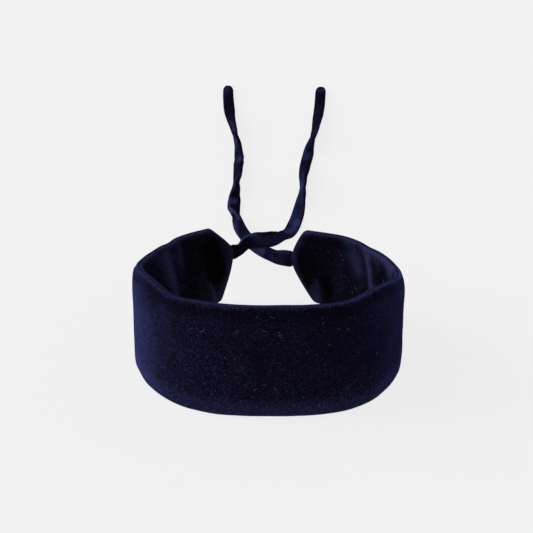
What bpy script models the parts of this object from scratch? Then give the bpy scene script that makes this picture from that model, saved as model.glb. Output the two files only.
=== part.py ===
"""Velvet choker: a wide, softly padded band that stands open on its lower edge,
with a narrow velvet tie sewn into each pointed end.

The band is two layers of cloth sewn together round their outline, an outer panel
and an inner facing. Both are the same flat plate, wrapped round the open loop of
the neck. The ties leave the points of the ends, cross once behind the band and
run away from it along the table.

Metres, +Z up. The origin is on the table, under the middle of the band's box.
The front of the band faces -Y, and left and right are as seen from the front.
"""
import math

import bmesh
import bpy
import numpy as np
from mathutils import Vector

# The band's own sizes
BAND_LENGTH = 0.3270        # from point to point, along the outer face
BACK_GAP = 0.0302           # left open between the two points, along the same line
BAND_HEIGHT = 0.050         # at the middle of the front
BAND_THICKNESS = 0.0045     # both layers, away from the edges
EDGE_THICKNESS = 0.0029     # both layers, where they are sewn together
EDGE_ROUNDING = 0.006       # how far in from an edge the padding is still thinner
LAYER_GAP = 0.0003          # between the two layers
POINT_LENGTH = 0.013        # how far a point reaches past the corner above or below it
POINT_BLUNTNESS = 0.0032    # rounding of the points
CORNER_ROUNDING = 0.0034    # rounding of the corners above and below the points
SLANT_REACH = 0.30          # last share of each half over which an end's slant grows
FOLD_WIDTH = 0.0060         # half-width of a soft upright fold
FOLD_DEPTH = 0.0014         # how far a fold stands in from the plain loop

# The ties
TIE_WIDTH = 0.0060
TIE_LEAD = 0.0030           # straight out of its point, before a tie starts to turn
TIE_CLEARANCE = 0.0003      # from a tie's end to the point that it is sewn into

# Fineness of the meshes
STATIONS = 56               # steps along the band
ROWS = 10                   # steps up the band
CROWDING = 0.65             # 0 for even steps, towards 1 for more of them near the edges
PLAN_STEPS = 1440           # steps round the loop when its length is measured
ROUTE_STEPS = 40            # steps between two points of a route when it is measured
TIE_STEP = 1.5              # distance between a tie's points, in tie widths
TIE_QUARTER_STEPS = 3       # sides in a quarter of a tie's round section, less one
SHARP_ANGLE = 50.0          # degrees between faces that shade as a crease

# Plan of the loop: the radius to the outer face as a share of the mean radius, by
# the angle from the front, on the left and on the right.
PLAN = (
    # angle, left, right
    (0, 0.985, 0.985),
    (15, 0.997, 1.022),
    (30, 1.038, 1.072),
    (45, 1.062, 1.082),
    (60, 1.057, 1.060),
    (75, 1.042, 1.040),
    (90, 1.028, 1.034),
    (105, 1.020, 1.022),
    (120, 1.004, 0.998),
    (135, 0.970, 0.956),
    (150, 0.926, 0.912),
    (165, 0.930, 0.922),
    (180, 0.980, 0.980),
)

# Upper edge: its height as a share of BAND_HEIGHT, by the share of the way from
# the middle of the front to a point, on the left and on the right.
UPPER_EDGE = (
    # along, left, right
    (0.0, 1.000, 1.000),
    (0.1, 1.000, 0.998),
    (0.2, 1.000, 0.988),
    (0.3, 0.970, 1.008),
    (0.4, 1.000, 0.920),
    (0.5, 0.930, 0.805),
    (0.6, 0.815, 0.727),
    (0.7, 0.753, 0.703),
    (0.85, 0.754, 0.716),
    (1.0, 0.762, 0.706),
)

# Ends: how far the corner above and the corner below stand back from the point,
# as shares of POINT_LENGTH, how high the point is, as a share of the height there,
# and how blunt it is, as a share of POINT_BLUNTNESS.
ENDS = {
    "left": {"above": 0.76, "below": 0.46, "point": 0.66, "blunt": 1.3},
    "right": {"above": 0.37, "below": 0.79, "point": 0.59, "blunt": 1.8},
}

# Soft upright folds: where, as a share of the way to a point (left is negative),
# width as a share of FOLD_WIDTH, and how far in the wall goes at the lower and at
# the upper edge as shares of FOLD_DEPTH.
FOLDS = (
    # along, width, lower, upper
    (-0.805, 0.8, 0.55, 0.75),
    (-0.330, 1.6, 0.10, 0.55),
    (0.225, 1.5, 0.00, 0.45),
    (0.535, 1.2, 0.45, 0.20),
    (0.755, 0.8, 0.80, 0.60),
)

# The ties' routes past the points, in metres. A tie first leaves its point
# straight, so the route starts where it has begun to turn.
TIE_LEFT_ROUTE = (
    (-0.0067, 0.0549, 0.0257), (-0.0029, 0.0578, 0.0257), (0.0010, 0.0620, 0.0238),
    (0.0052, 0.0703, 0.0199), (0.0098, 0.0831, 0.0141), (0.0144, 0.0977, 0.0086),
    (0.0164, 0.1052, 0.0065), (0.0182, 0.1127, 0.0050), (0.0201, 0.1215, 0.0037),
    (0.0227, 0.1326, 0.0033), (0.0252, 0.1444, 0.0033), (0.0274, 0.1583, 0.0033),
    (0.0289, 0.1734, 0.0033), (0.0311, 0.1906, 0.0033), (0.0340, 0.2061, 0.0033),
    (0.0369, 0.2187, 0.0033), (0.0402, 0.2353, 0.0033), (0.0432, 0.2539, 0.0033),
    (0.0459, 0.2723, 0.0033), (0.0482, 0.2917, 0.0033), (0.0493, 0.3010, 0.0033),
)
TIE_RIGHT_ROUTE = (
    (0.0079, 0.0550, 0.0186), (0.0047, 0.0637, 0.0155), (0.0017, 0.0749, 0.0119),
    (-0.0012, 0.0867, 0.0088), (-0.0040, 0.1016, 0.0060), (-0.0055, 0.1101, 0.0049),
    (-0.0070, 0.1195, 0.0038), (-0.0080, 0.1275, 0.0034), (-0.0086, 0.1363, 0.0033),
    (-0.0081, 0.1493, 0.0033), (-0.0065, 0.1609, 0.0033), (-0.0051, 0.1756, 0.0033),
    (-0.0038, 0.1917, 0.0033), (-0.0027, 0.2066, 0.0033), (-0.0027, 0.2216, 0.0033),
    (-0.0037, 0.2381, 0.0033), (-0.0047, 0.2566, 0.0033), (-0.0050, 0.2756, 0.0033),
    (-0.0046, 0.2950, 0.0033), (-0.0041, 0.3056, 0.0033),
)

# Colours: linear red, green, blue
VELVET_OUTSIDE = (0.0050, 0.0050, 0.0170)
VELVET_INSIDE = (0.0036, 0.0032, 0.0100)
VELVET_TIE = (0.0055, 0.0050, 0.0160)
VELVET_ROUGHNESS = 0.9
VELVET_SHEEN = 0.4


def clear_scene():
    """Remove every object of the open scene."""
    for old in list(bpy.data.objects):
        bpy.data.objects.remove(old, do_unlink=True)


def smooth_table(x, xs, ys):
    """A smooth curve through the rows of a table, read at x.

    Between two rows it is the cubic that meets both rows with the slopes
    that their neighbours give.
    """
    xs, ys = np.asarray(xs, float), np.asarray(ys, float)
    slope = np.gradient(ys, xs)
    x = np.clip(x, xs[0], xs[-1])
    i = np.clip(np.searchsorted(xs, x) - 1, 0, len(xs) - 2)
    step = xs[i + 1] - xs[i]
    t = (x - xs[i]) / step
    rise = ys[i + 1] - ys[i]
    bend_in = slope[i] * step - rise
    bend_out = rise - slope[i + 1] * step
    return ys[i] + t * rise + t * (1 - t) * ((1 - t) * bend_in + t * bend_out)


def two_sided(table):
    """Rows for one side, made rows for both: negative positions are the left's."""
    rows = np.array(table, float)
    left = rows[:0:-1]
    return (np.concatenate([-left[:, 0], rows[:, 0]]),
            np.concatenate([left[:, 1], rows[:, 2]]))


def loop_plan():
    """The outer face's line on the table: arc length from the front, and points.

    The plan's shape comes from its table. Its size is what makes its full round
    as long as the band and the gap together.
    """
    angles, shares = two_sided(PLAN)
    turned = np.radians(np.linspace(-180, 180, PLAN_STEPS + 1))
    wrap_angles = np.concatenate([angles[-3:-1] - 360, angles, angles[1:3] + 360])
    wrap_shares = np.concatenate([shares[-3:-1], shares, shares[1:3]])
    radius = smooth_table(np.degrees(turned), wrap_angles, wrap_shares)
    points = np.stack([radius * np.sin(turned), -radius * np.cos(turned)], axis=1)
    arc = np.concatenate([[0], np.cumsum(np.linalg.norm(np.diff(points, axis=0), axis=1))])
    size = (BAND_LENGTH + BACK_GAP) / arc[-1]
    arc, points = (arc - arc[PLAN_STEPS // 2]) * size, points * size
    covered = points[np.abs(arc) <= BAND_LENGTH / 2]
    return arc, points - (covered.min(axis=0) + covered.max(axis=0)) / 2


ARC, PLAN_POINTS = loop_plan()
PLAN_TANGENTS = np.gradient(PLAN_POINTS, ARC, axis=0)


def on_plan(arc):
    """Point on the outer face's line, and the unit direction along it."""
    point = np.stack([np.interp(arc, ARC, PLAN_POINTS[:, k]) for k in (0, 1)], axis=-1)
    along = np.stack([np.interp(arc, ARC, PLAN_TANGENTS[:, k]) for k in (0, 1)], axis=-1)
    return point, along / np.linalg.norm(along, axis=-1, keepdims=True)


def set_back(up, end):
    """How far an end's edge is behind its point, at a height share up.

    It is a blunt wedge: straight above and below the point, rounded at it.
    """
    reach = np.where(up > end["point"],
                     (up - end["point"]) / (1 - end["point"]),
                     (end["point"] - up) / end["point"])
    corner = POINT_LENGTH * np.where(up > end["point"], end["above"], end["below"])
    blunt = end["blunt"] * POINT_BLUNTNESS
    run = reach * np.sqrt((corner + blunt) ** 2 - blunt ** 2)
    return np.sqrt(run ** 2 + blunt ** 2) - blunt


def folds(along, up):
    """How far in the wall stands at a place: the sum of the soft upright folds."""
    total = np.zeros_like(along)
    for place, width, lower, upper in FOLDS:
        across = (along - place) * BAND_LENGTH / 2 / (width * FOLD_WIDTH)
        total += FOLD_DEPTH * (lower + (upper - lower) * up) * np.exp(-across ** 2)
    return total


def band_points(along, up, layer, face):
    """Place the flat plate's corners on the loop.

    along runs from -1 at the left point to 1 at the right one, up from 0 at the
    lower edge to 1 at the upper one. layer is -1 for the outer panel and 1 for the
    facing, and face is 0 on the sewn side and 1 on the side that shows.
    """
    half_length = BAND_LENGTH / 2
    side = np.where(along < 0, -1.0, 1.0)
    back = np.where(along < 0, set_back(up, ENDS["left"]), set_back(up, ENDS["right"]))
    near_end = np.clip(1 - (1 - np.abs(along)) / SLANT_REACH, 0, 1)
    growing = near_end ** 2 * (3 - 2 * near_end)
    arc = along * half_length - side * back * growing

    # The corners of the ends are rounded: the edges close in over the last stretch.
    to_end = half_length * (1 - np.abs(along))
    closing = np.clip(1 - to_end / CORNER_ROUNDING, 0, 1)
    corner = CORNER_ROUNDING * (1 - np.sqrt(1 - closing ** 2))
    top = BAND_HEIGHT * smooth_table(along, *two_sided(UPPER_EDGE))
    z = corner + up * (top - 2 * corner)

    # The padding thins out towards every edge, as a quarter of an ellipse does.
    to_edge = np.minimum(np.minimum(up, 1 - up) * top, to_end)
    thinning = np.clip(1 - to_edge / EDGE_ROUNDING, 0, 1)
    padding = (BAND_THICKNESS - EDGE_THICKNESS) * np.sqrt(1 - thinning ** 2)
    depth = np.where(face > 0.5, (EDGE_THICKNESS + padding) / 2, LAYER_GAP / 2)

    point, forward = on_plan(arc)
    inward = np.stack([-forward[:, 1], forward[:, 0]], axis=1)
    offset = BAND_THICKNESS / 2 + layer * depth + folds(along, up)
    flat = point + inward * offset[:, None]
    return np.column_stack([flat, z])


def crowd(t):
    """Steps from -1 to 1 moved closer together near both ends."""
    return (1 - CROWDING) * t + CROWDING * np.sin(t * math.pi / 2)


def band_layer(name, layer, material):
    """One layer of the band: a subdivided plate, wrapped round the loop."""
    bm = bmesh.new()
    bmesh.ops.create_grid(bm, x_segments=STATIONS, y_segments=ROWS, size=1.0)
    grown = bmesh.ops.extrude_face_region(bm, geom=bm.faces[:])
    upper_side = [item for item in grown["geom"] if isinstance(item, bmesh.types.BMVert)]
    bmesh.ops.translate(bm, verts=upper_side, vec=Vector((0, 0, 1)))

    plate = np.array([vert.co[:] for vert in bm.verts])
    along = crowd(plate[:, 0])
    up = (1 + crowd(plate[:, 1])) / 2
    for vert, place in zip(bm.verts, band_points(along, up, layer, plate[:, 2])):
        vert.co = place
    bmesh.ops.recalc_face_normals(bm, faces=bm.faces[:])

    mesh = bpy.data.meshes.new(name)
    bm.to_mesh(mesh)
    bm.free()
    mesh.shade_smooth()
    mesh.set_sharp_from_angle(angle=math.radians(SHARP_ANGLE))
    mesh.materials.append(material)
    return bpy.data.objects.new(name, mesh)


def tie_start(side):
    """Where a tie leaves its point, and the direction that it leaves in."""
    end = ENDS["left"] if side < 0 else ENDS["right"]
    tip, height, sewn_side = np.array([[float(side)], [end["point"]], [0.0]])
    sewn = [band_points(tip, height, layer, sewn_side)[0] for layer in (-1, 1)]
    _, forward = on_plan(np.array([side * BAND_LENGTH / 2]))
    out = np.array([*(side * forward[0]), 0.0])
    return (sewn[0] + sewn[1]) / 2 + out * TIE_CLEARANCE, out


def smooth_route(side, route):
    """Points along a tie: straight out of its point, then on a smooth curve.

    The curve runs through the route, and its points are TIE_STEP widths apart.
    """
    start, out = tie_start(side)
    turning = start + out * TIE_LEAD
    chosen = np.array([start, turning, *route])
    chord = np.linalg.norm(np.diff(chosen, axis=0), axis=1)
    reach = np.concatenate([[0], np.cumsum(chord)])
    fine = np.linspace(reach[1], reach[-1], ROUTE_STEPS * len(chosen))
    curve = np.column_stack([smooth_table(fine, reach, chosen[:, k]) for k in range(3)])
    length = np.concatenate([[0], np.cumsum(np.linalg.norm(np.diff(curve, axis=0), axis=1))])
    count = round(length[-1] / (TIE_STEP * TIE_WIDTH)) + 1
    even = np.linspace(0, length[-1], count)
    rest = np.column_stack([np.interp(even, length, curve[:, k]) for k in range(3)])
    return np.vstack([start, rest])


def tie(name, side, route, material):
    """A tie: a soft tube along its route, closed at both ends."""
    points = smooth_route(side, route)
    curve = bpy.data.curves.new(name, "CURVE")
    curve.dimensions = "3D"
    curve.bevel_depth = TIE_WIDTH / 2
    curve.bevel_resolution = TIE_QUARTER_STEPS
    curve.use_fill_caps = True
    spline = curve.splines.new("POLY")
    spline.points.add(len(points) - 1)
    for point, place in zip(spline.points, points):
        point.co = (*place, 1.0)
    curve.materials.append(material)
    return bpy.data.objects.new(name, curve)


def velvet(name, colour):
    """Cotton velvet: a dense upright pile, with a soft light edge and no gloss."""
    material = bpy.data.materials.new(name)
    material.use_nodes = True
    shader = material.node_tree.nodes["Principled BSDF"]
    shader.inputs["Base Color"].default_value = (*colour, 1.0)
    shader.inputs["Roughness"].default_value = VELVET_ROUGHNESS
    shader.inputs["Metallic"].default_value = 0.0
    shader.inputs["Sheen Weight"].default_value = VELVET_SHEEN
    material.diffuse_color = (*colour, 1.0)
    return material


def main():
    """Build the choker's four pieces into one collection."""
    clear_scene()
    collection = bpy.data.collections.new("choker_necklace")
    bpy.context.scene.collection.children.link(collection)
    outside = velvet("velvet_outside", VELVET_OUTSIDE)
    inside = velvet("velvet_inside", VELVET_INSIDE)
    cord = velvet("velvet_tie", VELVET_TIE)
    pieces = [
        band_layer("outer_panel", -1, outside),
        band_layer("inner_facing", 1, inside),
        tie("tie_left", -1, TIE_LEFT_ROUTE, cord),
        tie("tie_right", 1, TIE_RIGHT_ROUTE, cord),
    ]
    for piece in pieces:
        collection.objects.link(piece)


main()
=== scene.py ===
# %% [markdown]
# # A velvet choker, from plain solids to cloth
#
# The part arrives as four plain solids: two layers of a wide band and two round
# ties. They are the fixed frame. This lesson makes the cloth that is seen in their
# place, at the same size and on the same spot, and each new piece hides the solid
# that it stands for.

# %% Load the frame
import math

import bpy
import numpy as np
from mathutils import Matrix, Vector


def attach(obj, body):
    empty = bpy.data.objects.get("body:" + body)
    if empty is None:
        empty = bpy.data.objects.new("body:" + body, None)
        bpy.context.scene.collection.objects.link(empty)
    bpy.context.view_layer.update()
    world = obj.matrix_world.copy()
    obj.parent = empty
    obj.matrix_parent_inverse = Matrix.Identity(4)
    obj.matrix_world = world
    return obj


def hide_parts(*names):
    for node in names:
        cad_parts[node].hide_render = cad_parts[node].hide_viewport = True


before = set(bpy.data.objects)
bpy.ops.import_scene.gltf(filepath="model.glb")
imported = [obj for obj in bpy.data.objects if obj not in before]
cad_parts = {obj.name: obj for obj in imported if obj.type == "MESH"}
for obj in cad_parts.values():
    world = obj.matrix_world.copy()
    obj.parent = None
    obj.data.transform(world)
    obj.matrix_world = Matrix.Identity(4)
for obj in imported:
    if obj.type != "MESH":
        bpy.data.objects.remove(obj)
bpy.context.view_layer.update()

print("solids:", ", ".join(sorted(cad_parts)))

# %% [markdown]
# ## The camera
#
# The camera comes first, because the loose ties have to lie where it sees them. It
# stands 0.8 m from the band and 30 degrees above the table. It looks at a place a little
# behind the band, so it is tilted down by only 27 degrees. Its long lens keeps the two
# sides of the band nearly parallel.

# %% Camera
CAMERA_PLACE = (-0.04426, -0.68876, 0.4000)
CAMERA_LOOKS_AT = (0.00403, 0.08170, 0.0)
LENS_MM, SENSOR_MM = 124.5, 36.0
SEES_FROM, SEES_TO = 0.05, 20.0


def new_object(name, data):
    """An object for a camera, a mesh or a lamp, put into the scene."""
    thing = bpy.data.objects.new(name, data)
    bpy.context.scene.collection.objects.link(thing)
    return thing


camera_data = bpy.data.cameras.new("camera")
camera_data.lens, camera_data.sensor_width = LENS_MM, SENSOR_MM
camera_data.clip_start, camera_data.clip_end = SEES_FROM, SEES_TO
camera = new_object("camera", camera_data)
camera.location = CAMERA_PLACE
aim = Vector(CAMERA_LOOKS_AT) - Vector(CAMERA_PLACE)
camera.rotation_euler = aim.to_track_quat("-Z", "Y").to_euler()
bpy.context.scene.camera = camera
print("camera tilted down by %.1f degrees" % math.degrees(math.asin(-aim.z / aim.length)))

# %% [markdown]
# ## Named sizes
#
# Every length is in metres. They are the sizes that the solids were made with, so
# that the cloth lands on them. Shapes that were read off the real thing are short
# tables of shares, and a smooth curve runs through the rows of each table.

# %% Sizes and tables of the band
BAND_LENGTH = 0.3270        # from point to point, along the outer face
BACK_GAP = 0.0302           # left open between the two points, along the same line
BAND_HEIGHT = 0.050         # at the middle of the front
BAND_THICKNESS = 0.0045     # both layers, away from the edges
EDGE_THICKNESS = 0.0029     # both layers, where they are sewn together
LAYER_GAP = 0.0003          # between the two layers
POINT_LENGTH = 0.013        # how far a point reaches past the corner above or below it
POINT_BLUNTNESS = 0.0032
CORNER_ROUNDING = 0.0034
SLANT_REACH = 0.30          # last share of each half over which an end's slant grows
FOLD_WIDTH = 0.0060
FOLD_DEPTH = 0.0014

PLAN = (  # angle from the front, radius on the left and on the right as shares
    (0, 0.985, 0.985), (15, 0.997, 1.022), (30, 1.038, 1.072), (45, 1.062, 1.082),
    (60, 1.057, 1.060), (75, 1.042, 1.040), (90, 1.028, 1.034), (105, 1.020, 1.022),
    (120, 1.004, 0.998), (135, 0.970, 0.956), (150, 0.926, 0.912),
    (165, 0.930, 0.922), (180, 0.980, 0.980),
)
UPPER_EDGE = (  # share of the way to a point, height on the left and on the right
    (0.0, 1.000, 1.000), (0.1, 1.000, 0.998), (0.2, 1.000, 0.988), (0.3, 0.970, 1.008),
    (0.4, 1.000, 0.920), (0.5, 0.930, 0.805), (0.6, 0.815, 0.727),
    (0.7, 0.753, 0.703), (0.85, 0.754, 0.716), (1.0, 0.762, 0.706),
)
ENDS = {"left": {"above": 0.76, "below": 0.46, "point": 0.66, "blunt": 1.3},
        "right": {"above": 0.37, "below": 0.79, "point": 0.59, "blunt": 1.8}}
FOLDS = (  # share of the way, width in fold widths, depth below and above in fold depths
    (-0.805, 0.8, 0.55, 0.75), (-0.330, 1.6, 0.10, 0.55), (0.225, 1.5, 0.00, 0.45),
    (0.535, 1.2, 0.45, 0.20), (0.755, 0.8, 0.80, 0.60),
)
print("band: %.0f mm long, %.0f mm high" % (BAND_LENGTH * 1000, BAND_HEIGHT * 1000))

# %% [markdown]
# ## The loop's plan
#
# Seen from above, the band is a loop that is a little wider than it is deep, and open
# at the back. It could be drawn as a curve with handles, but the length of the cloth is
# what is known, so the radius is read from a table and the loop is then scaled until
# its round is as long as the band and its gap.

# %% The loop's plan
def smooth_table(x, xs, ys):
    """A smooth curve through a table's rows, read at x: between two rows it is the
    cubic that meets both with the slopes that their neighbours give."""
    xs, ys = np.asarray(xs, float), np.asarray(ys, float)
    slope = np.gradient(ys, xs)
    x = np.clip(x, xs[0], xs[-1])
    i = np.clip(np.searchsorted(xs, x) - 1, 0, len(xs) - 2)
    step = xs[i + 1] - xs[i]
    t = (x - xs[i]) / step
    rise = ys[i + 1] - ys[i]
    return ys[i] + t * rise + t * (1 - t) * (
        (1 - t) * (slope[i] * step - rise) + t * (rise - slope[i + 1] * step))


def two_sided(table):
    """Rows for one side, made rows for both: negative positions are the left's."""
    rows = np.array(table, float)
    left = rows[:0:-1]
    return (np.concatenate([-left[:, 0], rows[:, 0]]),
            np.concatenate([left[:, 1], rows[:, 2]]))


def loop_plan(steps=1440):
    """The outer face's line on the table. The radius follows the plan's table round
    the circle, and the size is what makes the whole round as long as band and gap."""
    angles, shares = two_sided(PLAN)
    turned = np.radians(np.linspace(-180, 180, steps + 1))
    radius = smooth_table(np.degrees(turned),
                          np.concatenate([angles[-3:-1] - 360, angles, angles[1:3] + 360]),
                          np.concatenate([shares[-3:-1], shares, shares[1:3]]))
    points = np.stack([radius * np.sin(turned), -radius * np.cos(turned)], axis=1)
    arc = np.concatenate([[0], np.cumsum(np.linalg.norm(np.diff(points, axis=0), axis=1))])
    size = (BAND_LENGTH + BACK_GAP) / arc[-1]
    arc, points = (arc - arc[steps // 2]) * size, points * size
    covered = points[np.abs(arc) <= BAND_LENGTH / 2]
    return arc, points - (covered.min(axis=0) + covered.max(axis=0)) / 2


ARC, PLAN_POINTS = loop_plan()
PLAN_TANGENTS = np.gradient(PLAN_POINTS, ARC, axis=0)


def on_plan(arc):
    """Point on the outer face's line, and the unit direction along it."""
    point = np.stack([np.interp(arc, ARC, PLAN_POINTS[:, k]) for k in (0, 1)], axis=-1)
    along = np.stack([np.interp(arc, ARC, PLAN_TANGENTS[:, k]) for k in (0, 1)], axis=-1)
    return point, along / np.linalg.norm(along, axis=-1, keepdims=True)


print("loop: %.0f mm across" % (np.ptp(PLAN_POINTS[:, 0]) * 1000))

# %% [markdown]
# ## The two ties
#
# Each tie is a narrow tube of the same velvet, pressed flat. It is soft, so it leaves
# its point on edge, falls to the table within a hand's width, and then lies there with
# slow twists that it kept from being tied. A round cord can't show a twist, so the tie
# is a flat profile that is turned as it is carried along a path.

# %% Sizes and tables of the ties
TIE_WIDTH = 0.0060
TIE_LEAD = 0.0030           # straight out of its point, before a tie starts to turn
TIE_REST = 0.0033           # height of a round tie's axis above the table
TIE_CLEARANCE = 0.0003      # from a round tie's end to its point
TIE_TIP = {-1.0: 0.0014, 1.0: 0.0020}   # how far each rounded tip reaches past the route
TUCKED_IN = 0.0018          # how far the flat tie goes into the seam between the layers

TIE_LEFT_ROUTE = (
    (-0.0067, 0.0549, 0.0257), (-0.0029, 0.0578, 0.0257), (0.0010, 0.0620, 0.0238),
    (0.0052, 0.0703, 0.0199), (0.0098, 0.0831, 0.0141), (0.0144, 0.0977, 0.0086),
    (0.0164, 0.1052, 0.0065), (0.0182, 0.1127, 0.0050), (0.0201, 0.1215, 0.0037),
    (0.0227, 0.1326, 0.0033), (0.0252, 0.1444, 0.0033), (0.0274, 0.1583, 0.0033),
    (0.0289, 0.1734, 0.0033), (0.0311, 0.1906, 0.0033), (0.0340, 0.2061, 0.0033),
    (0.0369, 0.2187, 0.0033), (0.0402, 0.2353, 0.0033), (0.0432, 0.2539, 0.0033),
    (0.0459, 0.2723, 0.0033), (0.0482, 0.2917, 0.0033), (0.0493, 0.3010, 0.0033),
)
TIE_RIGHT_ROUTE = (
    (0.0079, 0.0550, 0.0186), (0.0047, 0.0637, 0.0155), (0.0017, 0.0749, 0.0119),
    (-0.0012, 0.0867, 0.0088), (-0.0040, 0.1016, 0.0060), (-0.0055, 0.1101, 0.0049),
    (-0.0070, 0.1195, 0.0038), (-0.0080, 0.1275, 0.0034), (-0.0086, 0.1363, 0.0033),
    (-0.0081, 0.1493, 0.0033), (-0.0065, 0.1609, 0.0033), (-0.0051, 0.1756, 0.0033),
    (-0.0038, 0.1917, 0.0033), (-0.0027, 0.2066, 0.0033), (-0.0027, 0.2216, 0.0033),
    (-0.0037, 0.2381, 0.0033), (-0.0047, 0.2566, 0.0033), (-0.0050, 0.2756, 0.0033),
    (-0.0046, 0.2950, 0.0033), (-0.0041, 0.3056, 0.0033),
)
TIE_LIFTS = {  # along, half-width and height of places where a tie lies higher or lower
    -1.0: ((0.001, 0.004, -0.0005), (0.007, 0.006, 0.0006), (0.046, 0.012, 0.0009)),
    1.0: ((0.006, 0.010, -0.0004),),
}
TWIST_LEFT = (  # share of the length, turn in degrees, width and thickness in tie widths
    (0.000, 78, 1.42, 0.42), (0.008, 82, 1.16, 0.43), (0.015, 84, 0.96, 0.45),
    (0.022, 78, 0.85, 0.50), (0.032, 68, 0.96, 0.47), (0.050, 74, 1.20, 0.42),
    (0.080, 69, 1.24, 0.40), (0.110, 66, 1.22, 0.40), (0.133, 55, 1.18, 0.40),
    (0.162, 33, 1.12, 0.42), (0.193, 20, 1.06, 0.42), (0.230, 20, 1.04, 0.42),
    (0.270, 14, 1.06, 0.41), (0.315, 8, 1.10, 0.40), (0.360, 15, 1.04, 0.40),
    (0.406, 54, 1.02, 0.46), (0.459, 84, 1.00, 0.55), (0.487, 100, 1.00, 0.56),
    (0.516, 116, 1.00, 0.52), (0.540, 140, 1.00, 0.48), (0.600, 170, 1.00, 0.42),
    (0.635, 188, 0.97, 0.42), (0.670, 248, 0.97, 0.48), (0.700, 278, 0.97, 0.52),
    (0.750, 303, 0.98, 0.50), (0.800, 323, 1.00, 0.46), (0.830, 338, 1.00, 0.44),
    (0.890, 352, 1.00, 0.42), (1.000, 360, 1.00, 0.42),
)
TWIST_RIGHT = (  # the same columns
    (0.000, 106, 1.22, 0.42), (0.020, 104, 1.22, 0.42), (0.035, 91, 1.16, 0.42),
    (0.070, 96, 1.04, 0.42), (0.090, 103, 1.00, 0.42), (0.160, 138, 0.98, 0.42),
    (0.220, 150, 0.98, 0.42), (0.260, 160, 1.00, 0.42), (0.285, 148, 1.00, 0.46),
    (0.310, 118, 1.00, 0.62), (0.332, 78, 1.00, 0.76), (0.360, 32, 1.05, 0.50),
    (0.410, 6, 1.08, 0.40), (0.440, 56, 1.02, 0.46), (0.475, 80, 1.00, 0.54),
    (0.504, 118, 1.00, 0.52), (0.530, 131, 0.98, 0.50), (0.585, 158, 0.94, 0.48),
    (0.600, 182, 0.80, 0.56), (0.615, 207, 0.88, 0.50), (0.645, 229, 0.95, 0.48),
    (0.700, 246, 0.94, 0.50), (0.730, 266, 0.94, 0.50), (0.760, 284, 0.96, 0.48),
    (0.790, 297, 0.98, 0.46), (0.820, 316, 1.00, 0.44), (0.860, 346, 1.04, 0.42),
    (0.910, 360, 1.03, 0.42), (1.000, 366, 0.96, 0.42),
)
print("ties: %.1f mm wide" % (TIE_WIDTH * 1000))

# %% [markdown]
# ## Where the ties start
#
# A tie comes straight out of a point of the band, so the place and the direction of
# that point are worked out first: from the loop's plan, the height of the edge and the
# soft upright folds that push the wall inwards.

# %% The ends of the band, where the ties are sewn in
def set_back(up, end):
    """How far an end's edge is behind its point at a height share up: a blunt wedge,
    the hyperbola sqrt(run^2 + bluntness^2) - bluntness."""
    reach = np.where(up > end["point"], (up - end["point"]) / (1 - end["point"]),
                     (end["point"] - up) / end["point"])
    corner = POINT_LENGTH * np.where(up > end["point"], end["above"], end["below"])
    blunt = end["blunt"] * POINT_BLUNTNESS
    run = reach * np.sqrt((corner + blunt) ** 2 - blunt ** 2)
    return np.sqrt(run ** 2 + blunt ** 2) - blunt


def folds(along, up):
    """How far in the wall stands: the sum of bells, one for each soft upright fold."""
    total = np.zeros(np.broadcast(along, up).shape)
    for place, width, lower, upper in FOLDS:
        across = (along - place) * BAND_LENGTH / 2 / (width * FOLD_WIDTH)
        total += FOLD_DEPTH * (lower + (upper - lower) * up) * np.exp(-across ** 2)
    return total


def point_of(side):
    """The middle of the cloth at a point of the band, and the way out of it."""
    end = ENDS["left"] if side < 0 else ENDS["right"]
    place, forward = on_plan(np.array(side * BAND_LENGTH / 2))
    inward = np.array([-forward[1], forward[0]])
    middle = place + inward * (BAND_THICKNESS / 2 + folds(np.array(side), np.array(end["point"])))
    top = BAND_HEIGHT * smooth_table(float(side), *two_sided(UPPER_EDGE))
    height = CORNER_ROUNDING + end["point"] * (top - 2 * CORNER_ROUNDING)
    return np.array([*middle, height]), np.array([*(side * forward), 0.0])


for side, name in ((-1.0, "left"), (1.0, "right")):
    print(name, "point at", np.round(point_of(side)[0] * 1000, 1), "mm")

# %% [markdown]
# ## The line that a tie follows
#
# The route is a short list of points, and the smooth table curve runs through them.
# Points at even steps along the curve are what a profile is carried along later.

# %% Centreline of a tie
def tie_centreline(side, route, stations=240):
    """Even points straight out of the seam, then on a smooth curve through the route."""
    sewn, out = point_of(side)
    start = sewn + out * TIE_CLEARANCE
    chosen = np.array([start, start + out * TIE_LEAD, *route])
    reach = np.concatenate([[0], np.cumsum(np.linalg.norm(np.diff(chosen, axis=0), axis=1))])
    fine = np.linspace(0, reach[-1], 20 * stations)
    curve = np.column_stack([smooth_table(fine, reach, chosen[:, k]) for k in range(3)])
    onward = (curve[-1] - curve[-2]) / np.linalg.norm(curve[-1] - curve[-2])
    inside_seam = start - out * (TUCKED_IN + TIE_CLEARANCE)
    curve = np.vstack([inside_seam, curve, curve[-1] + onward * TIE_TIP[side]])
    length = np.concatenate([[0], np.cumsum(np.linalg.norm(np.diff(curve, axis=0), axis=1))])
    even = np.linspace(0, length[-1], stations)
    return np.column_stack([np.interp(even, length, curve[:, k]) for k in range(3)]), length[-1]


for side, route in ((-1.0, TIE_LEFT_ROUTE), (1.0, TIE_RIGHT_ROUTE)):
    print("tie length %.0f mm" % (tie_centreline(side, route)[1] * 1000))

# %% [markdown]
# ## Meshes from arrays
#
# Each surface is worked out as one array of points on a grid, so no loop runs over
# the vertices. Two small helpers number the grid's faces and put them into a mesh.
# A closed surface must face outwards. Its enclosed volume tells: it is negative if
# the surface is inside out, and then every face is turned round.

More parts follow.
